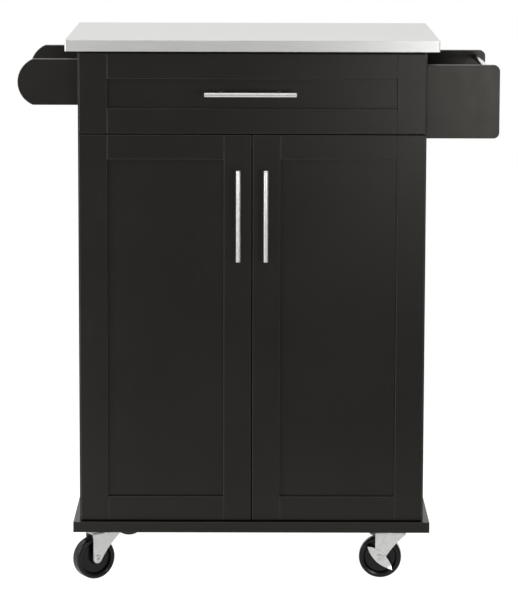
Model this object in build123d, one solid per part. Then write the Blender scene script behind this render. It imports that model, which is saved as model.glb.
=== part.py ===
from build123d import *
import os
from math import radians, cos, sin

os.makedirs("parts", exist_ok=True)

# Kitchen island cart. Millimetres. While modelling, X = 0 is the middle of the cabinet, Y = 0 the
# front edge of the worktop and Z = 0 the floor; +X is right, +Y runs to the back, +Z up.
# save() moves everything so that the origin is under the middle of the whole cart's box.

# --- whole cart
HEIGHT = 920
TOP_LENGTH = 620
TOP_DEPTH = 460
TOP_THICK = 18.8
SKIN = 0.8
SKIN_HEM = 14
BODY_WIDTH = 582
FACE_Y = 20
BASE_LENGTH = 602
BASE_DEPTH = 440
BASE_Y = 10
BASE_THICK = 18
BASE_Z = 88
EDGE_ROUND = 1.0

# --- cabinet boards
SIDE_THICK = 15
CARCASS_Y = 40
CARCASS_BACK_Y = 440
BACK_THICK = 3
BACK_INSET = 10
BACK_GROOVE = 5
DIVIDER_THICK = 15
RAIL_DEPTH = 70
SHELF_Z = 425
SHELF_SETBACK = 22
SHELF_PLAY = 1
PIN_RADIUS = 2.5
PIN_IN = 8
PIN_OUT = 9
PIN_Y = (100, 370)
BOLT_RADIUS = 2.5
BOLT_HEAD_RADIUS = 5
BOLT_HEAD_HEIGHT = 2.5
BOLT_REACH = 30

# --- magnetic catch under the drawer divider
CATCH_HALF = 36
CATCH_Y = (41, 56)
CATCH_HEIGHT = 17
MAGNET_X = (8, 28)
MAGNET_Y = (40.3, 50)
MAGNET_DOWN = (14, 6)
STRIKE_X = (7, 29)
STRIKE_DOWN = (16, 4)
STRIKE_THICK = 1.2

# --- framed fronts: stiles run the full height, rails fit between them
FRONT_THICK = 18
FRONT_INSET = 3
PANEL_RECESS = 6
PANEL_THICK = 6
PANEL_TONGUE = 6.5
GROOVE_DEPTH = 7
STILE_WIDTH = 46.4
DOOR_RAIL = 41
DRAWER_RAIL = 42
FRONT_GAP = 2
BASE_GAP = 1.3
DRAWER_FRONT_TOP = 896.5
SPLIT_Z = 762.4
DOOR_BOTTOM = BASE_Z + BASE_THICK + BASE_GAP
JOINT_ROUND = 1.2
BAR_CHAMFER = 0.6

# --- bar handles
BAR_RADIUS = 4.25
BAR_LENGTH = 153.5
POST_SPACING = 96
POST_RADIUS = 4
HANDLE_PROJECTION = 32
HANDLE_SCREW_GRIP = 12
DOOR_HANDLE_Z = 628.3
DOOR_HANDLE_X = 23
DRAWER_HANDLE_X = -3

# --- concealed hinges
HINGE_Z = (190, 680)
PIVOT_IN = 8
PIVOT_BACK = 8.5
HINGE_PIN_RADIUS = 1.25
HINGE_PLAY = 0.05
KNUCKLE_RADIUS = 2.2
KNUCKLE_HALF = 4.5
CUP_IN = 21
CUP_RADIUS = 17.5
CUP_WALL = 1
CUP_DEPTH = 12.5
CUP_FLANGE_IN = (9, 35)
CUP_FLANGE_HALF = 27
CUP_FLANGE_THICK = 1.2
HINGE_PIN_HALF = 11
DOOR_BACK_ROUND = 4
ARM_DROP = 6
ARM_THICK = 3.5
ARM_HALF = 6
ARM_BACK_Y = 104
ARM_SHOULDER = 2
TOE_THICK = 0.5
MOUNTING_PLATE_Y = (64, 98)
MOUNTING_PLATE_HALF = 20

# --- drawer box and its slides
BOX_HALF = 263.3
BOX_WALL = 12
BOX_BACK_Y = 380
BOX_Z = (786, 876)
BOTTOM_Z = (790, 794)
BOTTOM_TONGUE = 5
SCREW_HEAD_HEIGHT = 2.5
SLIDE_Z = 812
SLIDE_METAL = 1.2
CABINET_SLIDE_Y = (42, 392)
CABINET_SLIDE_HALF = 22.5
CABINET_SLIDE_REACH = 267
DRAWER_SLIDE_Y = (45, 375)
DRAWER_SLIDE_HALF = 18
DRAWER_SLIDE_REACH = 272

# --- racks on the two sides
RACK_THICK = 15
TOWEL_Y = 60
TOWEL_SPAN = 345
TOWEL_CENTRE_Z = 845.5
TOWEL_HALF_HEIGHT = 38.3
TOWEL_ARC_RADIUS = 41.5
TOWEL_ARC_OUT = 60
TOWEL_RAIL_RADIUS = 6
TOWEL_BOLT_Z = (848, 872)
SPICE_Y = 50
SPICE_SPAN = 365
SPICE_REACH = 122
SPICE_Z = (753.5, 876)
SPICE_CORNER = 10
SPICE_SHELF_THICK = 12
SPICE_RAIL_RADIUS = 5
SPICE_RAIL_IN = 16
SPICE_RAIL_DOWN = 12.5
SPICE_BOLT_Z = (779, 858)
SOCKET_DEPTH = 5
SOCKET_PLAY = 0.1

# --- casters: swivel centres under the base board, and the way each fork points
CASTER_X = 246
CASTER_Y = (64, 400)
CASTER_TURN = {"front_left": 31, "front_right": -3, "rear_left": 160, "rear_right": 57}
BRAKED = ("front_right", "rear_left")
TRAIL = 26
PLATE_SIZE = 60
PLATE_THICK = 2.5
PLATE_CORNER = 5
PLATE_SCREW_IN = 7
PLATE_SCREW_LENGTH = 12
SCREW_RADIUS = 2
SCREW_HEAD = 4
RACE_RADIUS = 20
RACE_DROP = 5.5
RACE_ROUND = 2
KING_PIN_RADIUS = 5
KING_PIN_HEAD = 8
KING_PIN_HEAD_DOWN = (1.7, 0.4)
HEAD_ROOM = 0.4
HEAD_SEAT = 0.5
RUNNING_PLAY = 0.05
FORK_METAL = 2
FORK_GAP = 24
FORK_BEND = 1.9
CROWN_TOP = 79.5
CROWN_RADIUS = 18
FOOT_RADIUS = 8
LEG_REACH = 44
LEG_END = 3
LEG_WAIST = (23.5, 20)
LEG_SLANT = radians(-28)
AXLE_RADIUS = 4
RIVET_HEAD = 6
RIVET_HEIGHT = 1.6
RIVET_HOLE = 2.5
RIVET_HOLE_DEPTH = 3

# --- wheels
WHEEL_RADIUS = 36
WHEEL_WIDTH = 21
SHOULDER_ROUND = 4
RIM_WIDTH = 8
RIM_STEP = 1
RIM_SLOPE = 2
WEB_HALF = 4
BOSS_RADIUS = 9.5
BOSS_PROUD = 0.8
WEB_ROUND = 1.2

# --- brake levers: a leaf of sheet with its two tips bent outwards
LEVER_ROOM = 2.6
LEVER_HALF_LENGTH = 29
LEVER_HALF_WIDTH = 9
LEVER_TILT = 43
LEVER_METAL = 2
LEVER_OFF_LEG = 0.3
LEVER_TIP_LENGTH = 7
LEVER_TIP_BEND = 4.2

HALF_BODY = BODY_WIDTH / 2
HALF_INSIDE = HALF_BODY - SIDE_THICK
HALF_FRONT = HALF_BODY - FRONT_INSET
TOP_Z = HEIGHT - TOP_THICK
FLOOR_Z = BASE_Z + BASE_THICK
BACK_Y = CARCASS_BACK_Y - BACK_INSET
FRONT_BACK_Y = FACE_Y + FRONT_THICK
TOWEL_REACH = TOWEL_ARC_OUT + TOWEL_ARC_RADIUS
DIVIDER_Z = (SPLIT_Z - DIVIDER_THICK / 2, SPLIT_Z + DIVIDER_THICK / 2)
DOOR_TOP = SPLIT_Z - FRONT_GAP / 2

MIDDLE = Vector(
    (SPICE_REACH - TOWEL_REACH) / 2,
    (TOP_DEPTH + FACE_Y - HANDLE_PROJECTION) / 2,
    0,
)


def save(name, solids):
    """Write one sub-part, one solid or a group of separate solids, in the cart's own frame."""
    group = solids if isinstance(solids, list) else [solids]
    moved = [Pos(-MIDDLE) * piece for solid in group for piece in solid.solids()]
    shape = moved[0] if len(moved) == 1 else Compound(moved)
    export_step(shape, f"parts/{name}.step")


def board(x, y, z, edge_round=0.0):
    """A straight board between two X, two Y and two Z values, with every edge rounded if asked."""
    middle = Pos((x[0] + x[1]) / 2, (y[0] + y[1]) / 2, (z[0] + z[1]) / 2)
    solid = middle * Box(abs(x[1] - x[0]), abs(y[1] - y[0]), abs(z[1] - z[0]))
    return fillet(solid.edges(), edge_round) if edge_round else solid


def slab(outline, y, edge_round=0.0):
    """A plate standing across Y, from an outline drawn in X and Z."""
    face = Plane.XZ * make_face(outline)
    solid = Pos(0, y[0], 0) * extrude(face, amount=y[1] - y[0], dir=(0, 1, 0))
    if not edge_round:
        return solid
    faces = solid.faces().sort_by(Axis.Y)
    return fillet(faces[0].edges() + faces[-1].edges(), edge_round)


def rod(radius, start, end):
    """A round rod from one point to another along X, Y or Z."""
    start, end = Vector(*start), Vector(*end)
    length = (end - start).length
    return Plane((start + end) * 0.5, z_dir=end - start) * Cylinder(radius, length)


def mirrored(side, values):
    """Two X values taken on the left (-1) or the right (+1) side, lowest first."""
    return tuple(sorted(side * value for value in values))


# ---------------------------------------------------------------- worktop and cabinet

def worktop():
    x = (-TOP_LENGTH / 2, TOP_LENGTH / 2)
    outer = fillet(board(x, (0, TOP_DEPTH), (TOP_Z, HEIGHT)).edges().filter_by(Axis.Z), 2 * EDGE_ROUND)
    outer = fillet(outer.faces().sort_by(Axis.Z)[-1].edges(), EDGE_ROUND)
    inner = board(
        (x[0] + SKIN, x[1] - SKIN), (SKIN, TOP_DEPTH - SKIN), (TOP_Z, HEIGHT - SKIN)
    )
    hem = board(x, (0, TOP_DEPTH), (TOP_Z, TOP_Z + SKIN)) - board(
        (x[0] + SKIN_HEM, x[1] - SKIN_HEM), (SKIN_HEM, TOP_DEPTH - SKIN_HEM), (TOP_Z, TOP_Z + SKIN)
    )
    core = inner - hem
    save("worktop_core", core)
    save("worktop_skin", outer - core)


def caster_centres():
    for name, turn in CASTER_TURN.items():
        x = -CASTER_X if "left" in name else CASTER_X
        y = CASTER_Y[0] if "front" in name else CASTER_Y[1]
        yield name, Pos(x, y, 0), turn


def base():
    base_x = (-BASE_LENGTH / 2, BASE_LENGTH / 2)
    solid = board(base_x, (BASE_Y, BASE_Y + BASE_DEPTH), (BASE_Z, FLOOR_Z), EDGE_ROUND)
    for _, centre, _ in caster_centres():
        solid -= centre * caster_screws()
    save("base_board", solid)


def bolt_positions(side):
    """Y and Z of the two bolts that hold each of the two panels of a side rack."""
    if side < 0:
        y0, span, heights = TOWEL_Y, TOWEL_SPAN, TOWEL_BOLT_Z
    else:
        y0, span, heights = SPICE_Y, SPICE_SPAN, SPICE_BOLT_Z
    half = RACK_THICK / 2
    return [(y, z) for y in (y0 + half, y0 + span - half) for z in heights]


def rack_bolts(side):
    bolts = []
    for y, z in bolt_positions(side):
        inner_face = (side * HALF_INSIDE, y, z)
        shank = rod(BOLT_RADIUS, inner_face, (side * (HALF_BODY + BOLT_REACH), y, z))
        head = rod(BOLT_HEAD_RADIUS, (side * (HALF_INSIDE - BOLT_HEAD_HEIGHT), y, z), inner_face)
        bolts.append(shank + head)
    return bolts


def shelf_pins(side):
    z = SHELF_Z - PIN_RADIUS
    ends = (side * (HALF_INSIDE + PIN_IN), side * (HALF_INSIDE - PIN_OUT))
    return [rod(PIN_RADIUS, (ends[0], y, z), (ends[1], y, z)) for y in PIN_Y]


def cabinet():
    back_x = (-HALF_INSIDE - BACK_GROOVE, HALF_INSIDE + BACK_GROOVE)
    back = board(back_x, (BACK_Y - BACK_THICK, BACK_Y), (FLOOR_Z, TOP_Z))
    for side, name in ((-1, "left"), (1, "right")):
        panel_x = mirrored(side, (HALF_INSIDE, HALF_BODY))
        panel = board(panel_x, (CARCASS_Y, CARCASS_BACK_Y), (FLOOR_Z, TOP_Z))
        upright = panel.edges().filter_by(Axis.Z).sort_by(Axis.Y)
        panel = fillet(upright, EDGE_ROUND) - back
        for hardware in rack_bolts(side) + shelf_pins(side):
            panel -= hardware
        save(f"{name}_side_panel", panel)
    save("back_panel", back)

    inside = (-HALF_INSIDE, HALF_INSIDE)
    inner_back = BACK_Y - BACK_THICK
    save("drawer_divider", board(inside, (CARCASS_Y, inner_back), DIVIDER_Z))
    rail_z = (TOP_Z - DIVIDER_THICK, TOP_Z)
    rails = [
        board(inside, (CARCASS_Y, CARCASS_Y + RAIL_DEPTH), rail_z),
        board(inside, (inner_back - RAIL_DEPTH, inner_back), rail_z),
    ]
    save("top_rails", rails)
    shelf_x = (-HALF_INSIDE + SHELF_PLAY, HALF_INSIDE - SHELF_PLAY)
    shelf_y = (CARCASS_Y + SHELF_SETBACK, inner_back - SHELF_PLAY)
    save("adjustable_shelf", board(shelf_x, shelf_y, (SHELF_Z, SHELF_Z + DIVIDER_THICK), EDGE_ROUND))
    save("shelf_pins", shelf_pins(-1) + shelf_pins(1))
    save("rack_bolts", rack_bolts(-1) + rack_bolts(1))

    catch_z = (DIVIDER_Z[0] - CATCH_HEIGHT, DIVIDER_Z[0])
    magnet_z = tuple(DIVIDER_Z[0] - down for down in MAGNET_DOWN)
    magnets = [board(mirrored(side, MAGNET_X), MAGNET_Y, magnet_z) for side in (-1, 1)]
    housing = board((-CATCH_HALF, CATCH_HALF), CATCH_Y, catch_z)
    save("magnetic_catch", [housing - magnets[0] - magnets[1]] + magnets)


# ---------------------------------------------------------------- framed fronts and handles

def framed_front(name, x, z, rail):
    """Two stiles, two rails and the panel held in their grooves. Returns stiles for more work."""
    y = (FACE_Y, FRONT_BACK_Y)
    panel_y = (FACE_Y + PANEL_RECESS, FACE_Y + PANEL_RECESS + PANEL_THICK)
    inner_x = (x[0] + STILE_WIDTH, x[1] - STILE_WIDTH)
    inner_z = (z[0] + rail, z[1] - rail)
    groove = board(
        (inner_x[0] - GROOVE_DEPTH, inner_x[1] + GROOVE_DEPTH),
        panel_y,
        (inner_z[0] - GROOVE_DEPTH, inner_z[1] + GROOVE_DEPTH),
    )
    stiles = [board((x[0], inner_x[0]), y, z), board((inner_x[1], x[1]), y, z)]
    rails = [board(inner_x, y, (z[0], inner_z[0])), board(inner_x, y, (inner_z[1], z[1]))]
    eased = []
    for piece in stiles + rails:
        front_edges = piece.faces().sort_by(Axis.Y)[0].edges()
        eased.append(fillet(front_edges, JOINT_ROUND) - groove)
    panel = board(
        (inner_x[0] - PANEL_TONGUE, inner_x[1] + PANEL_TONGUE),
        panel_y,
        (inner_z[0] - PANEL_TONGUE, inner_z[1] + PANEL_TONGUE),
    )
    save(f"{name}_rails", eased[2:])
    return eased[:2], panel


def bar_handle(middle, along, surface_y):
    """A bar on two posts. middle is the bar's X and Z, along its direction, surface_y its mounting face."""
    axis_y = surface_y - HANDLE_PROJECTION + BAR_RADIUS
    centre = Vector(middle[0], axis_y, middle[1])
    along = Vector(*along)
    bar = rod(BAR_RADIUS, centre - along * (BAR_LENGTH / 2), centre + along * (BAR_LENGTH / 2))
    ends = [edge for edge in bar.edges() if edge.geom_type == GeomType.CIRCLE]
    bar = chamfer(ends, BAR_CHAMFER)
    posts = []
    screws = []
    for step in (-POST_SPACING / 2, POST_SPACING / 2):
        foot = centre + along * step
        post = rod(POST_RADIUS, foot, (foot.X, surface_y, foot.Z)) - bar
        screw_y = (surface_y - HANDLE_SCREW_GRIP, FRONT_BACK_Y + BOX_WALL)
        screw = rod(SCREW_RADIUS, (foot.X, screw_y[0], foot.Z), (foot.X, screw_y[1], foot.Z))
        posts.append(post - screw)
        screws.append(screw)
    return [bar] + posts, screws


def door(side, name):
    x = mirrored(side, (FRONT_GAP / 2, HALF_FRONT))
    stiles, panel = framed_front(name, x, (DOOR_BOTTOM, DOOR_TOP), DOOR_RAIL)
    outer = 0 if side < 0 else 1
    hinge_stile = stiles[outer]
    back_edges = hinge_stile.edges().filter_by(Axis.Z).group_by(Axis.Y)[-1].sort_by(Axis.X)
    hinge_stile = fillet(back_edges[0] if side < 0 else back_edges[-1], DOOR_BACK_ROUND)
    cups = []
    for z in HINGE_Z:
        cup, pocket = hinge_cup(side, z)
        hinge_stile -= pocket
        cups.append(cup)
    stiles[outer] = hinge_stile
    handle, screws = bar_handle((side * DOOR_HANDLE_X, DOOR_HANDLE_Z), (0, 0, 1), FACE_Y)
    for screw in screws:
        stiles[1 - outer] -= screw
    save(f"{name}_stiles", stiles)
    save(f"{name}_panel", panel)
    save(f"{name}_handle", handle)
    save(f"{name}_hinge_cups", cups)
    strike_y = (FRONT_BACK_Y, FRONT_BACK_Y + STRIKE_THICK)
    strike_z = tuple(DIVIDER_Z[0] - down for down in STRIKE_DOWN)
    save(f"{name}_strike_plate", board(mirrored(side, STRIKE_X), strike_y, strike_z))


def hinge_cup(side, z):
    """The cup let into a door's stile, with its flange and pin, and the pocket that holds it."""
    x = side * (HALF_FRONT - CUP_IN)
    bottom_y = FRONT_BACK_Y - CUP_DEPTH
    flange_x = mirrored(side, (HALF_FRONT - CUP_FLANGE_IN[1], HALF_FRONT - CUP_FLANGE_IN[0]))
    flange_y = (FRONT_BACK_Y, FRONT_BACK_Y + CUP_FLANGE_THICK)
    pocket = rod(CUP_RADIUS, (x, bottom_y, z), (x, FRONT_BACK_Y, z))
    hollow = rod(CUP_RADIUS - CUP_WALL, (x, bottom_y + CUP_WALL, z), (x, flange_y[1], z))
    flange = board(flange_x, flange_y, (z - CUP_FLANGE_HALF, z + CUP_FLANGE_HALF))
    pivot_x, pivot_y = pivot(side)
    pin_ends = [(pivot_x, pivot_y, z + end) for end in (-HINGE_PIN_HALF, HINGE_PIN_HALF)]
    pin = rod(HINGE_PIN_RADIUS, *pin_ends)
    return pocket + flange - hollow + (pin & pocket), pocket


def pivot(side):
    """X and Y of the line that a door turns about."""
    return side * (HALF_FRONT - PIVOT_IN), FRONT_BACK_Y - PIVOT_BACK


def hinge_arms():
    """Each arm reaches from its mounting plate into the cup and turns there on the cup's pin."""
    arms = []
    plates = []
    plate_x = (HALF_INSIDE - ARM_DROP, HALF_INSIDE)
    arm_x = (HALF_INSIDE - ARM_DROP - ARM_THICK, HALF_INSIDE - ARM_DROP)
    for side in (-1, 1):
        px, py = pivot(side)
        toe_y = (py - KNUCKLE_RADIUS, py + TOE_THICK)
        shoulder_y = FRONT_BACK_Y - ARM_SHOULDER
        for z in HINGE_Z:
            full_z = (z - ARM_HALF, z + ARM_HALF)
            narrow_z = (z - KNUCKLE_HALF, z + KNUCKLE_HALF)
            neck = board(mirrored(side, arm_x), (shoulder_y, ARM_BACK_Y), full_z)
            neck += board(mirrored(side, arm_x), (toe_y[0], shoulder_y), narrow_z)
            toe = board(mirrored(side, (arm_x[0], abs(px))), toe_y, narrow_z)
            knuckle = rod(KNUCKLE_RADIUS, (px, py, narrow_z[0]), (px, py, narrow_z[1]))
            bore = rod(HINGE_PIN_RADIUS + HINGE_PLAY, (px, py, full_z[0]), (px, py, full_z[1]))
            arms.append(neck + toe + knuckle - bore)
            plate_z = (z - MOUNTING_PLATE_HALF, z + MOUNTING_PLATE_HALF)
            plates.append(board(mirrored(side, plate_x), MOUNTING_PLATE_Y, plate_z))
    save("hinge_arms", arms)
    save("hinge_mounting_plates", plates)


# ---------------------------------------------------------------- drawer

def slide_channel(side, web_x, reach, half_height, y):
    """A pressed channel of a drawer slide: web_x is its back, reach the X where its flanges end."""
    towards = 1 if reach > web_x else -1
    solid = board(mirrored(side, (web_x, reach)), y, (SLIDE_Z - half_height, SLIDE_Z + half_height))
    hollow = board(
        mirrored(side, (web_x + towards * SLIDE_METAL, reach + towards)),
        y,
        (SLIDE_Z - half_height + SLIDE_METAL, SLIDE_Z + half_height - SLIDE_METAL),
    )
    return solid - hollow


def drawer():
    z = (SPLIT_Z + FRONT_GAP / 2, DRAWER_FRONT_TOP)
    stiles, panel = framed_front("drawer_front", (-HALF_FRONT, HALF_FRONT), z, DRAWER_RAIL)
    panel_y = FACE_Y + PANEL_RECESS
    handle_z = (z[0] + z[1]) / 2
    handle, screws = bar_handle((DRAWER_HANDLE_X, handle_z), (1, 0, 0), panel_y)
    box_front = board((-BOX_HALF, BOX_HALF), (FRONT_BACK_Y, FRONT_BACK_Y + BOX_WALL), BOX_Z)
    box_y = (FRONT_BACK_Y + BOX_WALL, BOX_BACK_Y)
    inner = BOX_HALF - BOX_WALL
    bottom_x = (-inner - BOTTOM_TONGUE, inner + BOTTOM_TONGUE)
    bottom = board(bottom_x, (box_y[0] - BOTTOM_TONGUE, box_y[1]), BOTTOM_Z)
    sides = [board(mirrored(side, (inner, BOX_HALF)), box_y, BOX_Z) - bottom for side in (-1, 1)]
    back = board((-inner, inner), (box_y[1] - BOX_WALL, box_y[1]), (BOTTOM_Z[1], BOX_Z[1]))
    screw_heads = []
    for screw in screws:
        panel -= screw
        box_front -= screw
        middle = screw.center()
        head_ends = [(middle.X, y, middle.Z) for y in (box_y[0], box_y[0] + SCREW_HEAD_HEIGHT)]
        screw_heads.append(screw + rod(SCREW_HEAD, *head_ends))
    drawer_runners = []
    cabinet_runners = []
    for side in (-1, 1):
        web_x = BOX_HALF + SLIDE_METAL
        drawer_runners.append(
            slide_channel(side, web_x, DRAWER_SLIDE_REACH, DRAWER_SLIDE_HALF, DRAWER_SLIDE_Y)
        )
        cabinet_runners.append(
            slide_channel(side, HALF_INSIDE, CABINET_SLIDE_REACH, CABINET_SLIDE_HALF, CABINET_SLIDE_Y)
        )
    save("drawer_front_stiles", stiles)
    save("drawer_front_panel", panel)
    save("drawer_handle", handle)
    save("drawer_handle_screws", screw_heads)
    save("drawer_box_front", box_front - bottom)
    save("drawer_box_sides", sides)
    save("drawer_box_back", back)
    save("drawer_box_bottom", bottom)
    save("drawer_runners", drawer_runners)
    save("cabinet_runners", cabinet_runners)


# ---------------------------------------------------------------- racks

def towel_rack():
    """Two rounded brackets on the left side and the rail between them."""
    top = TOWEL_CENTRE_Z + TOWEL_HALF_HEIGHT
    bottom = TOWEL_CENTRE_Z - TOWEL_HALF_HEIGHT
    centre_x = -HALF_BODY - TOWEL_ARC_OUT
    corner_x = centre_x - (TOWEL_ARC_RADIUS**2 - TOWEL_HALF_HEIGHT**2) ** 0.5
    tip = (centre_x - TOWEL_ARC_RADIUS, TOWEL_CENTRE_Z)
    outline = [
        Line((-HALF_BODY, bottom), (-HALF_BODY, top)),
        Line((-HALF_BODY, top), (corner_x, top)),
        ThreePointArc((corner_x, top), tip, (corner_x, bottom)),
        Line((corner_x, bottom), (-HALF_BODY, bottom)),
    ]
    front_y = (TOWEL_Y, TOWEL_Y + RACK_THICK)
    rear_y = (TOWEL_Y + TOWEL_SPAN - RACK_THICK, TOWEL_Y + TOWEL_SPAN)
    rail_ends = [
        (centre_x, front_y[1] - SOCKET_DEPTH, TOWEL_CENTRE_Z),
        (centre_x, rear_y[0] + SOCKET_DEPTH, TOWEL_CENTRE_Z),
    ]
    socket = rod(TOWEL_RAIL_RADIUS + SOCKET_PLAY, *rail_ends)
    for name, y in (("front", front_y), ("rear", rear_y)):
        panel = slab(outline, y, EDGE_ROUND) - socket
        for bolt in rack_bolts(-1):
            panel -= bolt
        save(f"towel_rack_{name}_panel", panel)
    save("towel_rail", rod(TOWEL_RAIL_RADIUS, *rail_ends))


def spice_rack():
    """Two panels on the right side, a shelf between their lower edges and a guard rail near the top."""
    outer_x = HALF_BODY + SPICE_REACH
    front_y = (SPICE_Y, SPICE_Y + RACK_THICK)
    rear_y = (SPICE_Y + SPICE_SPAN - RACK_THICK, SPICE_Y + SPICE_SPAN)
    rail_x = outer_x - SPICE_RAIL_IN
    rail_z = SPICE_Z[1] - SPICE_RAIL_DOWN
    rail_ends = [(rail_x, front_y[1] - SOCKET_DEPTH, rail_z), (rail_x, rear_y[0] + SOCKET_DEPTH, rail_z)]
    socket = rod(SPICE_RAIL_RADIUS + SOCKET_PLAY, *rail_ends)
    for name, y in (("front", front_y), ("rear", rear_y)):
        panel = board((HALF_BODY, outer_x), y, SPICE_Z)
        corners = panel.edges().filter_by(Axis.Y).sort_by(Axis.X)[-2:]
        panel = fillet(corners, SPICE_CORNER)
        faces = panel.faces().sort_by(Axis.Y)
        panel = fillet(faces[0].edges() + faces[-1].edges(), EDGE_ROUND) - socket
        for bolt in rack_bolts(1):
            panel -= bolt
        save(f"spice_rack_{name}_panel", panel)
    shelf_z = (SPICE_Z[0], SPICE_Z[0] + SPICE_SHELF_THICK)
    save("spice_rack_shelf", board((HALF_BODY, outer_x - SPICE_CORNER), (front_y[1], rear_y[0]), shelf_z))
    save("spice_rack_rail", rod(SPICE_RAIL_RADIUS, *rail_ends))


# ---------------------------------------------------------------- casters, about their swivel axis

def caster_screws():
    half = PLATE_SIZE / 2 - PLATE_SCREW_IN
    seat_z = BASE_Z - PLATE_THICK
    group = Part()
    for x in (-half, half):
        for y in (-half, half):
            group += rod(SCREW_RADIUS, (x, y, seat_z), (x, y, BASE_Z + PLATE_SCREW_LENGTH))
            group += rod(SCREW_HEAD, (x, y, seat_z - SCREW_HEAD_HEIGHT), (x, y, seat_z))
    return group


def caster_plate():
    half = PLATE_SIZE / 2
    plate_z = BASE_Z - PLATE_THICK
    plate = board((-half, half), (-half, half), (plate_z, BASE_Z))
    plate = fillet(plate.edges().filter_by(Axis.Z), PLATE_CORNER)
    race = rod(RACE_RADIUS, (0, 0, plate_z - RACE_DROP), (0, 0, plate_z))
    race = fillet(race.faces().sort_by(Axis.Z)[0].edges(), RACE_ROUND)
    bore = rod(KING_PIN_RADIUS + RUNNING_PLAY, (0, 0, plate_z - RACE_DROP), (0, 0, BASE_Z))
    head_room = rod(KING_PIN_HEAD + HEAD_ROOM, (0, 0, plate_z + HEAD_SEAT), (0, 0, BASE_Z))
    return plate + race - bore - head_room - caster_screws()


def fork_leg(y):
    """One leg, drawn from the axle: upright in front, hollowed along its slanting rear edge."""
    top = CROWN_TOP - WHEEL_RADIUS
    slant_end = (FOOT_RADIUS * cos(LEG_SLANT), FOOT_RADIUS * sin(LEG_SLANT))
    outline = [
        Line((-FOOT_RADIUS, 0), (-FOOT_RADIUS, top)),
        Line((-FOOT_RADIUS, top), (LEG_REACH, top)),
        Line((LEG_REACH, top), (LEG_REACH, top - LEG_END)),
        ThreePointArc((LEG_REACH, top - LEG_END), LEG_WAIST, slant_end),
        ThreePointArc(slant_end, (0, -FOOT_RADIUS), (-FOOT_RADIUS, 0)),
    ]
    return Pos(-TRAIL, 0, WHEEL_RADIUS) * slab(outline, y)


def fork():
    """A pressed fork: two tapering legs under a crown, with the king pin that turns in the race."""
    half = FORK_GAP / 2
    outer = half + FORK_METAL
    crown_x = (-FOOT_RADIUS - TRAIL, LEG_REACH - TRAIL)
    crown_z = (CROWN_TOP - FORK_METAL, CROWN_TOP)
    pressing = board(crown_x, (-outer, outer), crown_z)
    pressing += fork_leg((-outer, -half)) + fork_leg((half, outer))
    long_edges = pressing.faces().sort_by(Axis.Z)[-1].edges().filter_by(Axis.X)
    pressing = fillet(long_edges, FORK_BEND)
    crown = rod(CROWN_RADIUS, (0, 0, crown_z[0]), (0, 0, crown_z[1]))
    head_z = tuple(BASE_Z - down for down in KING_PIN_HEAD_DOWN)
    king_pin = rod(KING_PIN_RADIUS, (0, 0, CROWN_TOP), (0, 0, head_z[1]))
    king_pin += rod(KING_PIN_HEAD, (0, 0, head_z[0]), (0, 0, head_z[1]))
    axle_hole = rod(AXLE_RADIUS, (-TRAIL, -outer, WHEEL_RADIUS), (-TRAIL, outer, WHEEL_RADIUS))
    return pressing + crown + king_pin - axle_hole


def axle(lever_room):
    """A hollow-ended rivet through the legs. lever_room is the space outside for a brake lever."""
    far = FORK_GAP / 2 + FORK_METAL
    near = -far - lever_room
    solid = rod(AXLE_RADIUS, (0, near, 0), (0, far, 0))
    for end, outwards in ((near, -1), (far, 1)):
        head_y = end + outwards * RIVET_HEIGHT
        head = rod(RIVET_HEAD, (0, end, 0), (0, head_y, 0))
        rim = head.faces().sort_by(Axis.Y)[0 if outwards < 0 else -1].edges()
        solid += chamfer(rim, RIVET_HEIGHT / 2)
        solid -= rod(RIVET_HOLE, (0, head_y - outwards * RIVET_HOLE_DEPTH, 0), (0, head_y, 0))
    return Pos(-TRAIL, 0, WHEEL_RADIUS) * solid


def wheel():
    """A moulded wheel: round-shouldered tread, rim, thin dished web and a hub boss with a plain bore."""
    half = WHEEL_WIDTH / 2
    bore = AXLE_RADIUS + RUNNING_PLAY
    rim_inner = WHEEL_RADIUS - RIM_WIDTH
    section = [
        (bore, half + BOSS_PROUD),
        (BOSS_RADIUS, half + BOSS_PROUD),
        (BOSS_RADIUS + WEB_ROUND, WEB_HALF),
        (rim_inner - RIM_SLOPE, WEB_HALF),
        (rim_inner, half - RIM_STEP),
        (WHEEL_RADIUS - SHOULDER_ROUND - RIM_STEP, half),
        (WHEEL_RADIUS, half),
    ]
    profile = Polyline(*section, *[(x, -y) for x, y in reversed(section)], close=True)
    solid = revolve(make_face(profile), Axis.Y)
    circles = solid.edges().filter_by(GeomType.CIRCLE)
    shoulders = circles.filter_by(lambda edge: abs(edge.radius - WHEEL_RADIUS) < 0.1)
    solid = fillet(shoulders, SHOULDER_ROUND)
    circles = solid.edges().filter_by(GeomType.CIRCLE)
    inner_radii = (BOSS_RADIUS + WEB_ROUND, rim_inner - RIM_SLOPE, rim_inner)
    inner = circles.filter_by(lambda edge: any(abs(edge.radius - r) < 0.1 for r in inner_radii))
    return Pos(-TRAIL, 0, WHEEL_RADIUS) * fillet(inner, WEB_ROUND / 2)


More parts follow.
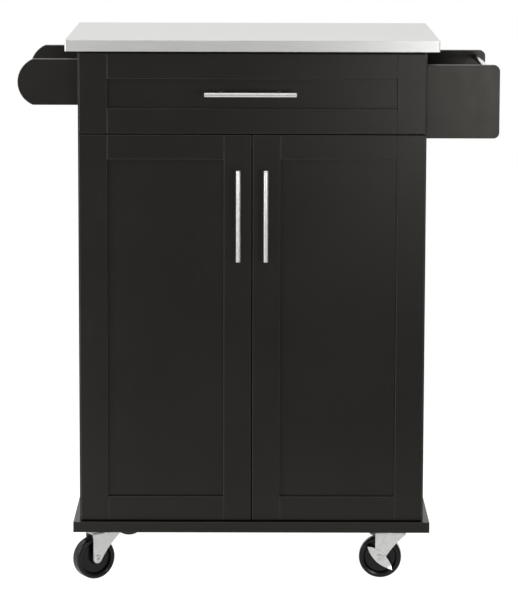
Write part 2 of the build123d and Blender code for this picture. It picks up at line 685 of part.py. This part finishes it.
def brake_lever():
    """A leaf-shaped lever that turns on the axle, outside the leg."""
    back = -FORK_GAP / 2 - FORK_METAL - LEVER_OFF_LEG
    front = back - LEVER_METAL
    bend_x = LEVER_HALF_LENGTH - LEVER_TIP_LENGTH
    folded = [
        (-LEVER_HALF_LENGTH, front - LEVER_TIP_BEND),
        (-bend_x, front),
        (bend_x, front),
        (LEVER_HALF_LENGTH, front - LEVER_TIP_BEND),
        (LEVER_HALF_LENGTH, back - LEVER_TIP_BEND),
        (bend_x, back),
        (-bend_x, back),
        (-LEVER_HALF_LENGTH, back - LEVER_TIP_BEND),
    ]
    strip = extrude(make_face(Polyline(*folded, close=True)), amount=LEVER_HALF_LENGTH, both=True)
    tips = (-LEVER_HALF_LENGTH, 0), (LEVER_HALF_LENGTH, 0)
    outline = [
        ThreePointArc(tips[0], (0, LEVER_HALF_WIDTH), tips[1]),
        ThreePointArc(tips[1], (0, -LEVER_HALF_WIDTH), tips[0]),
    ]
    leaf = extrude(Plane.XZ * make_face(outline), amount=LEVER_HALF_LENGTH, both=True)
    hole = rod(AXLE_RADIUS + RUNNING_PLAY, (0, front, 0), (0, back, 0))
    return Pos(-TRAIL, 0, WHEEL_RADIUS) * Rot(0, LEVER_TILT, 0) * ((strip & leaf) - hole)


def casters():
    plates = []
    screws = []
    for name, centre, turn in caster_centres():
        place = centre * Rot(0, 0, turn)
        plates.append(centre * caster_plate())
        screws += (centre * caster_screws()).solids()
        save(f"{name}_caster_fork", place * fork())
        save(f"{name}_caster_axle", place * axle(LEVER_ROOM if name in BRAKED else 0))
        save(f"{name}_caster_wheel", place * wheel())
        if name in BRAKED:
            save(f"{name}_brake_lever", place * brake_lever())
    save("caster_plates", plates)
    save("caster_screws", screws)


worktop()
base()
cabinet()
door(-1, "left_door")
door(1, "right_door")
hinge_arms()
drawer()
towel_rack()
spice_rack()
casters()
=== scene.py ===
import math

import bmesh
import bpy
from mathutils import Matrix, Vector


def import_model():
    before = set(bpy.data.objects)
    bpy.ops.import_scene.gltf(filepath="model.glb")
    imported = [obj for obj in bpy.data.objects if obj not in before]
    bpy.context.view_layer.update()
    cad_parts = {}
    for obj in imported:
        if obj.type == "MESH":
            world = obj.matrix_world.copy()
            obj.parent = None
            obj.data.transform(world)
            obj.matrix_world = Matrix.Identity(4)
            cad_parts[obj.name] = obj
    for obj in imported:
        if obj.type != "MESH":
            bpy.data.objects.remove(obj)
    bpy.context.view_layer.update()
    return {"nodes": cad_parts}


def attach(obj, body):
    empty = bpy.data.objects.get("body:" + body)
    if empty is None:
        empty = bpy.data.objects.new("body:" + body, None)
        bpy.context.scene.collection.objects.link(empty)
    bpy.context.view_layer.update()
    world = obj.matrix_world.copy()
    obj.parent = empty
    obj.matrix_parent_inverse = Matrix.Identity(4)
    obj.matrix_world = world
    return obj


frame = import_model()
CAD = frame["nodes"]
MM = 0.001
WHITE = (1, 1, 1, 1)

# ------------------------------------------------------------------ node building helpers

BEVEL_SAMPLES = 6


def smoothstep(nodes, start, end):
    """A node that eases a value from 0 at start to 1 at end."""
    node = nodes.new("ShaderNodeMapRange")
    node.interpolation_type = "SMOOTHSTEP"
    node.inputs["From Min"].default_value = start
    node.inputs["From Max"].default_value = end
    return node


class Shader:
    """A material with one Principled BSDF, and short calls that add nodes to it."""

    def __init__(self, name, **constants):
        self.material = bpy.data.materials.new(name)
        self.material.use_nodes = True
        self.nodes = self.material.node_tree.nodes
        self.links = self.material.node_tree.links
        self.bsdf = self.nodes["Principled BSDF"]
        for socket, value in constants.items():
            self.bsdf.inputs[socket.replace("_", " ")].default_value = value
        self.coords = self.nodes.new("ShaderNodeTexCoord").outputs["Object"]

    def set(self, socket, source):
        """Links a node's output to a socket of the shader."""
        self.links.new(source, self.bsdf.inputs[socket])

    def mapped(self, scale=(1, 1, 1)):
        """The object's own coordinates, in metres, times a scale for each axis."""
        node = self.nodes.new("ShaderNodeMapping")
        node.inputs["Scale"].default_value = scale
        self.links.new(self.coords, node.inputs["Vector"])
        return node.outputs["Vector"]

    def noise(self, scale, detail=3.0, roughness=0.5, stretch=(1, 1, 1), distortion=0.0):
        """Noise of 0..1, with about scale cells to the metre along an axis that isn't stretched."""
        node = self.nodes.new("ShaderNodeTexNoise")
        node.inputs["Scale"].default_value = scale
        node.inputs["Detail"].default_value = detail
        node.inputs["Roughness"].default_value = roughness
        node.inputs["Distortion"].default_value = distortion
        self.links.new(self.mapped(stretch), node.inputs["Vector"])
        return node.outputs["Fac"]

    def ramp(self, source, *stops):
        """A ramp of greys, from stops that are a position and a value each."""
        node = self.nodes.new("ShaderNodeValToRGB")
        elements = node.color_ramp.elements
        while len(elements) < len(stops):
            elements.new(0.5)
        for element, (position, grey) in zip(elements, stops):
            element.position = position
            element.color = (grey, grey, grey, 1)
        self.links.new(source, node.inputs["Fac"])
        return node.outputs["Color"]

    def math(self, operation, a, b=0.5):
        """One sum on values or numbers."""
        node = self.nodes.new("ShaderNodeMath")
        node.operation = operation
        for slot, value in zip(node.inputs, (a, b)):
            if isinstance(value, (int, float)):
                slot.default_value = value
            else:
                self.links.new(value, slot)
        return node.outputs["Value"]

    def span(self, source, low, high):
        """Stretches a value from 0..1 to low..high."""
        node = self.nodes.new("ShaderNodeMapRange")
        node.inputs["To Min"].default_value = low
        node.inputs["To Max"].default_value = high
        self.links.new(source, node.inputs["Value"])
        return node.outputs["Result"]

    def blend(self, factor, a, b):
        """Colour a where the factor is 0, and colour b where it is 1."""
        node = self.nodes.new("ShaderNodeMix")
        node.data_type = "RGBA"
        colour_a, colour_b = node.inputs[6], node.inputs[7]
        for socket, value in ((colour_a, a), (colour_b, b)):
            if isinstance(value, tuple):
                socket.default_value = (*value, 1)
            else:
                self.links.new(value, socket)
        self.links.new(factor, node.inputs["Factor"])
        mixed_colour = node.outputs[2]
        return mixed_colour

    def bump(self, source, distance, strength, under=None):
        """A normal bent by a height, on top of another bump if one is given."""
        node = self.nodes.new("ShaderNodeBump")
        node.inputs["Strength"].default_value = strength
        node.inputs["Distance"].default_value = distance
        self.links.new(source, node.inputs["Height"])
        if under is not None:
            self.links.new(under, node.inputs["Normal"])
        return node.outputs["Normal"]

    def edges(self, radius):
        """About 0 on flat faces and 1 on sharp edges, within radius of them."""
        bevel = self.nodes.new("ShaderNodeBevel")
        bevel.samples = BEVEL_SAMPLES
        bevel.inputs["Radius"].default_value = radius
        plain = self.nodes.new("ShaderNodeNewGeometry")
        dot = self.nodes.new("ShaderNodeVectorMath")
        dot.operation = "DOT_PRODUCT"
        self.links.new(bevel.outputs["Normal"], dot.inputs[0])
        self.links.new(plain.outputs["Normal"], dot.inputs[1])
        return self.ramp(dot.outputs["Value"], (0.8, 1), (0.99, 0))

    def eased(self):
        """About 1 on the rounded rims of boards, between their faces and their narrow sides."""
        normal = self.nodes.new("ShaderNodeTexCoord").outputs["Normal"]
        split = self.nodes.new("ShaderNodeSeparateXYZ")
        self.links.new(normal, split.inputs["Vector"])
        facing = self.math("ABSOLUTE", split.outputs["Y"])
        return self.ramp(facing, (0.15, 0), (0.35, 1), (0.88, 1), (0.97, 0))


# How noise is scaled to run along an axis: up is Z, across is X and deep is Y.
DRAWN_OUT = 0.03
GRAIN = {"up": (1, 1, DRAWN_OUT), "across": (DRAWN_OUT, 1, 1), "deep": (1, DRAWN_OUT, 1)}
ACROSS_BRUSHING = {"up": "Z", "across": "X", "deep": "Y"}

LACQUER_IOR = 1.38
LACQUER_TINT = (1.0, 0.975, 0.90, 1.0)
LACQUER_ROUGH = (0.27, 0.38)
LACQUER_DARK = (0.0042, 0.0039, 0.0034)
LACQUER_LIGHT = (0.0068, 0.0063, 0.0055)
LACQUER_STREAK = (0.0105, 0.0096, 0.0082)
LACQUER_WORN = (0.030, 0.025, 0.020)
# The colour of a painted highlight along the rounded rims of boards.
LACQUER_RIM_HIGHLIGHT = (0.052, 0.047, 0.040)


def lacquer(name, grain):
    """Satin black-brown lacquer: faint grain, orange peel, worn corners, and a painted highlight on
    the rounded rims.
    """
    s = Shader(name, IOR=LACQUER_IOR, Specular_Tint=LACQUER_TINT)
    stretch = GRAIN[grain]
    streaks = s.noise(420, 4, 0.6, stretch)
    cloud = s.noise(6, 3)
    colour = s.blend(s.ramp(cloud, (0.3, 0), (0.7, 1)), LACQUER_DARK, LACQUER_LIGHT)
    colour = s.blend(s.ramp(streaks, (0.55, 0), (0.8, 1)), colour, LACQUER_STREAK)
    patches = s.ramp(s.noise(90, 4), (0.42, 0.0), (0.66, 0.75))
    worn = s.math("MULTIPLY", s.edges(0.9 * MM), patches)
    colour = s.blend(worn, colour, LACQUER_WORN)
    # Painted highlight: the rounded rims get a lighter colour that stands in for the light they
    # catch.
    rim_highlight = s.math("MULTIPLY", s.eased(), s.span(s.noise(60, 3), 0.45, 0.95))
    s.set("Base Color", s.blend(rim_highlight, colour, LACQUER_RIM_HIGHLIGHT))
    s.set("Roughness", s.span(s.noise(45, 4, 0.6), *LACQUER_ROUGH))
    peel = s.bump(s.noise(700, 2), 0.06 * MM, 0.25)
    s.set("Normal", s.bump(streaks, 0.10 * MM, 0.22, peel))
    return s.material


BRUSHED_DULLER = 0.93


def brushed(name, colour, along, rough=(0.36, 0.46), streak=0.12, spread=0.75):
    """Brushed metal: fine scratches along one axis, and gloss spread across them."""
    s = Shader(name, Metallic=1.0, Anisotropic=spread)
    stretch = GRAIN[along]
    tangent = s.nodes.new("ShaderNodeTangent")
    tangent.direction_type = "RADIAL"
    tangent.axis = ACROSS_BRUSHING[along]
    s.set("Tangent", tangent.outputs["Tangent"])
    fine = s.noise(2600, 2, 0.7, stretch)
    broad = s.noise(800, 3, 0.6, stretch)
    duller = tuple(c * BRUSHED_DULLER for c in colour)
    s.set("Base Color", s.blend(s.ramp(broad, (0.35, 0), (0.65, 1)), duller, colour))
    mixed = s.math("ADD", s.math("MULTIPLY", fine, 0.6), s.math("MULTIPLY", broad, 0.4))
    s.set("Roughness", s.span(mixed, *rough))
    s.set("Normal", s.bump(fine, 0.05 * MM, streak))
    return s.material


ZINC_BLUE = (0.66, 0.67, 0.68)
ZINC_YELLOW = (0.75, 0.74, 0.70)
ZINC_EDGE = (0.55, 0.55, 0.53)
ZINC_ROUGH = (0.26, 0.48)
SPANGLE_SCALE = 260


def zinc(name):
    """Bright zinc plating: soft spangle, a faint blue and yellow cast, duller edges."""
    s = Shader(name, Metallic=1.0)
    spangle = s.nodes.new("ShaderNodeTexVoronoi")
    spangle.inputs["Scale"].default_value = SPANGLE_SCALE
    s.links.new(s.mapped(), spangle.inputs["Vector"])
    cloud = s.noise(120, 4)
    colour = s.blend(s.ramp(cloud, (0.35, 0), (0.65, 1)), ZINC_BLUE, ZINC_YELLOW)
    edge = s.math("MULTIPLY", s.edges(0.5 * MM), 0.6)
    s.set("Base Color", s.blend(edge, colour, ZINC_EDGE))
    cells = s.math("MULTIPLY", spangle.outputs["Distance"], 0.4)
    mixed = s.math("ADD", cells, s.math("MULTIPLY", cloud, 0.6))
    s.set("Roughness", s.span(mixed, *ZINC_ROUGH))
    s.set("Normal", s.bump(cloud, 0.05 * MM, 0.3))
    return s.material


MOULDED_IOR = 1.34
MOULDED_LIGHTER = 1.6


def moulded(name, colour, rough=(0.36, 0.5)):
    """Moulded plastic or rubber: a fine eroded texture, with slightly lighter clouds."""
    s = Shader(name, IOR=MOULDED_IOR)
    cloud = s.noise(60, 4)
    light = tuple(c * MOULDED_LIGHTER for c in colour)
    s.set("Base Color", s.blend(s.ramp(cloud, (0.35, 0), (0.7, 1)), colour, light))
    s.set("Roughness", s.span(s.noise(300, 3), *rough))
    s.set("Normal", s.bump(s.noise(2200, 2), 0.04 * MM, 0.35))
    return s.material


BOARD_IOR = 1.45
BIRCH_LIGHT = (0.64, 0.47, 0.30)
BIRCH_DARK = (0.47, 0.32, 0.19)
BIRCH_PORE = tuple(c * 0.6 for c in BIRCH_DARK)


def plywood(name, along):
    """Clear-lacquered birch with growth lines along one axis."""
    s = Shader(name, IOR=BOARD_IOR)
    stretch = GRAIN[along]
    figure = s.noise(70, 4, 0.6, stretch, 1.2)
    pores = s.noise(900, 3, 0.7, stretch)
    colour = s.blend(s.ramp(figure, (0.35, 0), (0.68, 1)), BIRCH_LIGHT, BIRCH_DARK)
    s.set("Base Color", s.blend(s.ramp(pores, (0.62, 0), (0.8, 0.6)), colour, BIRCH_PORE))
    s.set("Roughness", s.span(pores, 0.42, 0.6))
    s.set("Normal", s.bump(pores, 0.08 * MM, 0.35))
    return s.material


FIBRE_DARK = (0.40, 0.28, 0.17)
FIBRE_LIGHT = (0.53, 0.39, 0.26)


def fibreboard(name):
    """Raw fibreboard, seen only from below."""
    s = Shader(name, IOR=BOARD_IOR)
    fibres = s.noise(900, 4, 0.7)
    s.set("Base Color", s.blend(s.ramp(fibres, (0.35, 0), (0.7, 1)), FIBRE_DARK, FIBRE_LIGHT))
    s.set("Roughness", s.span(fibres, 0.75, 0.95))
    s.set("Normal", s.bump(fibres, 0.12 * MM, 0.5))
    return s.material


# ------------------------------------------------------------------ materials of the CAD nodes

lacquer_up = lacquer("lacquer_grain_up", "up")
lacquer_across = lacquer("lacquer_grain_across", "across")
lacquer_deep = lacquer("lacquer_grain_deep", "deep")
steel_top = brushed("stainless_worktop", (0.88, 0.88, 0.865), "across")
bar_finish = {"colour": (0.92, 0.91, 0.885), "rough": (0.24, 0.32), "streak": 0.08, "spread": 0.4}
bar_across = brushed("handle_steel_across", along="across", **bar_finish)
bar_up = brushed("handle_steel_up", along="up", **bar_finish)
chrome_rail = brushed("chrome_rail", (0.86, 0.86, 0.85), "deep", (0.09, 0.14), 0.03, 0.2)
zinc_plate = zinc("zinc_plate")
nickel = brushed("nickel_hardware", (0.68, 0.68, 0.67), "deep", (0.22, 0.34), 0.06, 0.2)
wheel_black = moulded("wheel_plastic", (0.0035, 0.0034, 0.0032), (0.16, 0.26))
catch_brown = moulded("catch_plastic", (0.10, 0.06, 0.035))
ply_across = plywood("birch_grain_across", "across")
ply_deep = plywood("birch_grain_deep", "deep")
core_board = fibreboard("raw_fibreboard")
bumper_rubber = moulded("bumper_rubber", (0.045, 0.043, 0.04), (0.5, 0.65))

LOOKS = {
    lacquer_up: [
        "left_side_panel", "right_side_panel", "back_panel", "left_door_panel", "right_door_panel",
        "left_door_stiles", "right_door_stiles", "drawer_front_stiles",
    ],
    lacquer_across: [
        "base_board", "drawer_divider", "top_rails", "adjustable_shelf", "drawer_front_rails",
        "drawer_front_panel", "left_door_rails", "right_door_rails", "towel_rack_front_panel",
        "towel_rack_rear_panel", "spice_rack_front_panel", "spice_rack_rear_panel",
    ],
    lacquer_deep: ["spice_rack_shelf"],
    steel_top: ["worktop_skin"],
    core_board: ["worktop_core"],
    bar_across: ["drawer_handle"],
    bar_up: ["left_door_handle", "right_door_handle"],
    chrome_rail: ["towel_rail", "spice_rack_rail"],
    nickel: [
        "shelf_pins", "cabinet_runners", "drawer_runners", "hinge_arms", "hinge_mounting_plates",
        "caster_screws", "rack_bolts", "drawer_handle_screws", "left_door_hinge_cups",
        "right_door_hinge_cups", "left_door_strike_plate", "right_door_strike_plate",
    ],
    catch_brown: ["magnetic_catch"],
    zinc_plate: ["caster_plates"] + [n for n in CAD if n.endswith(("_fork", "_axle", "_lever"))],
    wheel_black: [n for n in CAD if n.endswith("_wheel")],
    ply_across: ["drawer_box_front", "drawer_box_back"],
    ply_deep: ["drawer_box_sides", "drawer_box_bottom"],
}
for material, names in LOOKS.items():
    for node in names:
        slots = CAD[node].data.materials
        slots.clear()
        slots.append(material)

# ------------------------------------------------------------------ fasteners and small fittings

# A head's profile is its radii and heights, from the seat to the top, and a cross recess is its
# arm, half width and depth, all in millimetres.
PAN_HEAD = [(3.9, 0), (3.9, 0.9), (3.4, 1.8), (2.4, 2.3)]
PAN_CROSS = (2.1, 0.55, 1.5)
SMALL_HEAD = [(3.0, 0), (3.0, 0.5), (2.6, 1.1), (1.9, 1.4)]
SMALL_CROSS = (1.6, 0.45, 1.0)
NAIL_HEAD = [(1.6, 0), (1.6, 0.2), (1.2, 0.5), (0.5, 0.6)]
BUMPER = [(4.5, 0), (4.4, 0.7), (3.7, 1.3), (2.0, 1.55)]
CAP = [(7.0, 0), (7.0, 0.35), (6.6, 0.7), (2.0, 0.85)]
RECESS_FLOOR = 0.8
RING = 32
SHARP_ANGLE = math.radians(32)

# The frame's origin, in metres from the middle of the cabinet and from the worktop's front edge.
ORIGIN_X, ORIGIN_Y = 0.01025, 0.224

# Places in millimetres: x from the middle of the cabinet, y from the worktop's front edge and z
# from the floor. An offset is half the distance between a pair of screws or posts.
BACKWARDS = (0, 1, 0)
FRONTS_BACK_Y = 38
HANDLE_X, HANDLE_Z, HANDLE_POST_OFFSET = 23, 628.3, 48
HINGE_Z = (190, 680)
CUP_SCREW_X, CUP_SCREW_Y, CUP_SCREW_OFFSET = 266, 39.2, 22.5
PLATE_SCREW_X, PLATE_SCREW_Y, PLATE_SCREW_OFFSET = 270, 81, 14
DOOR_BUMPERS_XZ = ((9, 116), (9, 745), (90, 745))
DRAWER_BUMPER_X, DRAWER_BUMPERS_Z = 278, (778, 884)
SIDE_FACE_X = 276
RUNNER_THICK = 1.2
RUNNER_SCREWS_Y, RUNNER_SCREW_Z = (70, 215, 360), 812
CAPS_Y, CAP_Z = (75, 395), 742
NAILS, NAIL_FIRST_X, NAIL_STEP = 7, -240, 80
NAIL_Y, NAILS_Z = 430, (762, 893)


def cross(angle, arm, half_width):
    """Distance from the middle to the outline of a screwdriver's cross, at an angle."""
    along = max(abs(math.cos(angle)), 1e-6)
    beside = max(abs(math.sin(angle)), 1e-6)
    lying = min(arm / along, half_width / beside)
    standing = min(half_width / along, arm / beside)
    return max(lying, standing)


def stud(mesh, place, towards, profile, recess=None):
    """Adds a round head to a mesh, on its seat at a place, with a cross recess if one is given."""
    turn = Vector(towards).to_track_quat("Z", "Y").to_matrix().to_4x4()
    matrix = Matrix.Translation(place) @ turn
    angles = [2 * math.pi * (i + 0.5) / RING for i in range(RING)]
    rings = [([r * MM] * RING, height * MM) for r, height in profile]
    if recess:
        arm, half_width, depth = (value * MM for value in recess)
        top = profile[-1][1] * MM
        for height, size in ((top, 1.0), (top - depth, RECESS_FLOOR)):
            rings.append(([size * cross(a, arm, half_width) for a in angles], height))
    verts = [
        [mesh.verts.new(matrix @ Vector((r * math.cos(a), r * math.sin(a), height)))
         for r, a in zip(radii, angles)]
        for radii, height in rings
    ]
    mesh.faces.new(reversed(verts[0]))
    for lower, upper in zip(verts, verts[1:]):
        for i in range(RING):
            j = (i + 1) % RING
            mesh.faces.new((lower[i], lower[j], upper[j], upper[i]))
    mesh.faces.new(verts[-1])


def fitting(name, body, material, studs):
    """One piece made of several studs, riding on a body."""
    mesh = bmesh.new()
    for stud_settings in studs:
        stud(mesh, *stud_settings)
    data = bpy.data.meshes.new(name)
    mesh.to_mesh(data)
    mesh.free()
    data.materials.append(material)
    for face in data.polygons:
        face.use_smooth = True
    data.set_sharp_from_angle(angle=SHARP_ANGLE)
    obj = bpy.data.objects.new(name, data)
    bpy.context.scene.collection.objects.link(obj)
    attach(obj, body)


def at(x, y, z):
    """A place given in the millimetres above, in the frame's metres."""
    return Vector((x * MM - ORIGIN_X, y * MM - ORIGIN_Y, z * MM))


def pair(middle, offset):
    """Two heights, one below and one above the middle."""
    return middle - offset, middle + offset


for side, name in ((-1, "left_door"), (1, "right_door")):
    handle = [
        (at(side * HANDLE_X, FRONTS_BACK_Y, z), BACKWARDS, PAN_HEAD, PAN_CROSS)
        for z in pair(HANDLE_Z, HANDLE_POST_OFFSET)
    ]
    fitting(f"{name}_handle_screws", name, nickel, handle)
    cups = [
        (at(side * CUP_SCREW_X, CUP_SCREW_Y, z), BACKWARDS, SMALL_HEAD, SMALL_CROSS)
        for hinge in HINGE_Z for z in pair(hinge, CUP_SCREW_OFFSET)
    ]
    fitting(f"{name}_hinge_screws", name, nickel, cups)
    pads = [(at(side * x, FRONTS_BACK_Y, z), BACKWARDS, BUMPER) for x, z in DOOR_BUMPERS_XZ]
    fitting(f"{name}_bumpers", name, bumper_rubber, pads)

pads = [
    (at(x, FRONTS_BACK_Y, z), BACKWARDS, BUMPER)
    for x in (-DRAWER_BUMPER_X, DRAWER_BUMPER_X) for z in DRAWER_BUMPERS_Z
]
fitting("drawer_bumpers", "drawer", bumper_rubber, pads)

plate_screws = []
runner_screws = []
caps = []
for side in (-1, 1):
    inwards = (-side, 0, 0)
    for hinge in HINGE_Z:
        for z in pair(hinge, PLATE_SCREW_OFFSET):
            place = at(side * PLATE_SCREW_X, PLATE_SCREW_Y, z)
            plate_screws.append((place, inwards, SMALL_HEAD, SMALL_CROSS))
    for y in RUNNER_SCREWS_Y:
        place = at(side * (SIDE_FACE_X - RUNNER_THICK), y, RUNNER_SCREW_Z)
        runner_screws.append((place, inwards, SMALL_HEAD, SMALL_CROSS))
    for y in CAPS_Y:
        caps.append((at(side * SIDE_FACE_X, y, CAP_Z), inwards, CAP))
fitting("hinge_plate_screws", "cabinet", nickel, plate_screws)
fitting("runner_screws", "cabinet", nickel, runner_screws)
fitting("cam_caps", "cabinet", bumper_rubber, caps)

nails = [
    (at(NAIL_FIRST_X + step * NAIL_STEP, NAIL_Y, z), BACKWARDS, NAIL_HEAD)
    for step in range(NAILS) for z in NAILS_Z
]
fitting("back_panel_nails", "cabinet", nickel, nails)

# ------------------------------------------------------------------ camera

# The place is in metres, the angles in radians, and the lens and sensor in millimetres.
CAMERA_PLACE = Vector((-0.0090, -5.5413, 1.2846))
CAMERA_DOWN = 0.14885
CAMERA_YAW = -0.00216
CAMERA_ROLL = 0.0027
CAMERA_LENS = 193.33
SENSOR_WIDTH = 36

camera_data = bpy.data.cameras.new("camera")
camera_data.lens = CAMERA_LENS
camera_data.sensor_width = SENSOR_WIDTH
camera = bpy.data.objects.new("camera", camera_data)
camera.matrix_world = (
    Matrix.Translation(CAMERA_PLACE)
    @ Matrix.Rotation(CAMERA_YAW, 4, "Z")
    @ Matrix.Rotation(math.pi / 2 - CAMERA_DOWN, 4, "X")
    @ Matrix.Rotation(CAMERA_ROLL, 4, "Z")
)
bpy.context.scene.collection.objects.link(camera)
bpy.context.scene.camera = camera
bpy.context.scene.view_settings.view_transform = "Standard"

# ------------------------------------------------------------------ floor, world and lights

FLOOR_RADIUS = 3.0
FLOOR_SIDES = 96
FLOOR_FADE = (0.45, FLOOR_RADIUS * 0.6)
FLOOR_GLOW = 0.66
FLOOR_SEEN_GLOW = 0.96
FLOOR_REFLECTANCE = 0.25
FLOOR_ROUGH = 0.7

# The surroundings' brightness, and the X and Y of the directions between which it changes, from
# left to right and from the front to the back.
WORLD_LEFT = 0.50
WORLD_RIGHT = 0.33
WORLD_BACK = 0.86
WORLD_SIDEWAYS = (-0.5, 0.22)
WORLD_BACKWARDS = (-0.25, 0.35)

# name, place, aim and size in metres, power in watts
SOFTBOXES = (
    ("softbox_right", (0.70, -2.0, 0.74), (0.45, -0.2, 0.95), (0.5, 0.34), 5.8),
    ("card_left", (-0.9, -1.0, 0.012), (-0.9, -1.0, 1.0), (1.0, 1.2), 4.5),
    ("card_far_left", (-0.85, -2.0, 0.72), (-0.4, -0.2, 0.85), (0.4, 0.4), 0.9),
    ("softbox_above", (0.2, -1.4, 2.6), (0.0, 0.0, 0.6), (1.8, 1.0), 7.5),
    ("softbox_left", (-2.0, -1.3, 1.3), (0.0, 0.0, 0.6), (0.8, 1.6), 30),
)


def floor():
    """A pale round floor that fades out into the white surroundings."""
    mesh = bpy.data.meshes.new("floor")
    disc = bmesh.new()
    bmesh.ops.create_circle(disc, cap_ends=True, segments=FLOOR_SIDES, radius=FLOOR_RADIUS)
    disc.to_mesh(mesh)
    disc.free()
    obj = bpy.data.objects.new("floor", mesh)
    s = Shader("pale_floor", Roughness=FLOOR_ROUGH)
    seen = s.nodes.new("ShaderNodeLightPath").outputs["Is Camera Ray"]
    s.set("Emission Strength", s.span(seen, FLOOR_GLOW, FLOOR_SEEN_GLOW))
    s.bsdf.inputs["Base Color"].default_value = (FLOOR_REFLECTANCE,) * 3 + (1,)
    s.bsdf.inputs["Emission Color"].default_value = WHITE
    length = s.nodes.new("ShaderNodeVectorMath")
    length.operation = "LENGTH"
    s.links.new(s.coords, length.inputs[0])
    fade = smoothstep(s.nodes, *FLOOR_FADE)
    s.links.new(length.outputs["Value"], fade.inputs["Value"])
    clear = s.nodes.new("ShaderNodeBsdfTransparent")
    mix = s.nodes.new("ShaderNodeMixShader")
    s.links.new(fade.outputs["Result"], mix.inputs["Fac"])
    s.links.new(s.bsdf.outputs["BSDF"], mix.inputs[1])
    s.links.new(clear.outputs["BSDF"], mix.inputs[2])
    s.links.new(mix.outputs["Shader"], s.nodes["Material Output"].inputs["Surface"])
    mesh.materials.append(s.material)
    bpy.context.scene.collection.objects.link(obj)


def world():
    """Plain white to look at; as a light, bright behind the cart and dimmer in front of it."""
    sky = bpy.data.worlds.new("studio")
    sky.use_nodes = True
    nodes, links = sky.node_tree.nodes, sky.node_tree.links
    nodes.clear()
    direction = nodes.new("ShaderNodeTexCoord")
    split = nodes.new("ShaderNodeSeparateXYZ")
    links.new(direction.outputs["Generated"], split.inputs["Vector"])
    side = smoothstep(nodes, *WORLD_SIDEWAYS)
    side.inputs["To Min"].default_value = WORLD_LEFT
    side.inputs["To Max"].default_value = WORLD_RIGHT
    links.new(split.outputs["X"], side.inputs["Value"])
    depth = smoothstep(nodes, *WORLD_BACKWARDS)
    depth.inputs["To Max"].default_value = WORLD_BACK
    links.new(side.outputs["Result"], depth.inputs["To Min"])
    links.new(split.outputs["Y"], depth.inputs["Value"])
    lit = nodes.new("ShaderNodeBackground")
    lit.inputs["Color"].default_value = WHITE
    links.new(depth.outputs["Result"], lit.inputs["Strength"])
    white = nodes.new("ShaderNodeBackground")
    white.inputs["Color"].default_value = WHITE
    path = nodes.new("ShaderNodeLightPath")
    mix = nodes.new("ShaderNodeMixShader")
    links.new(path.outputs["Is Camera Ray"], mix.inputs["Fac"])
    links.new(lit.outputs["Background"], mix.inputs[1])
    links.new(white.outputs["Background"], mix.inputs[2])
    out = nodes.new("ShaderNodeOutputWorld")
    links.new(mix.outputs["Shader"], out.inputs["Surface"])
    bpy.context.scene.world = sky


def softbox(name, place, aim, size, power):
    """A rectangular light at a place, turned towards its aim, which the camera doesn't see."""
    data = bpy.data.lights.new(name, "AREA")
    data.shape = "RECTANGLE"
    data.size, data.size_y = size
    data.energy = power
    lamp = bpy.data.objects.new(name, data)
    lamp.location = place
    lamp.visible_camera = False
    lamp.rotation_euler = (Vector(aim) - Vector(place)).to_track_quat("-Z", "Y").to_euler()
    bpy.context.scene.collection.objects.link(lamp)


floor()
world()
for settings in SOFTBOXES:
    softbox(*settings)
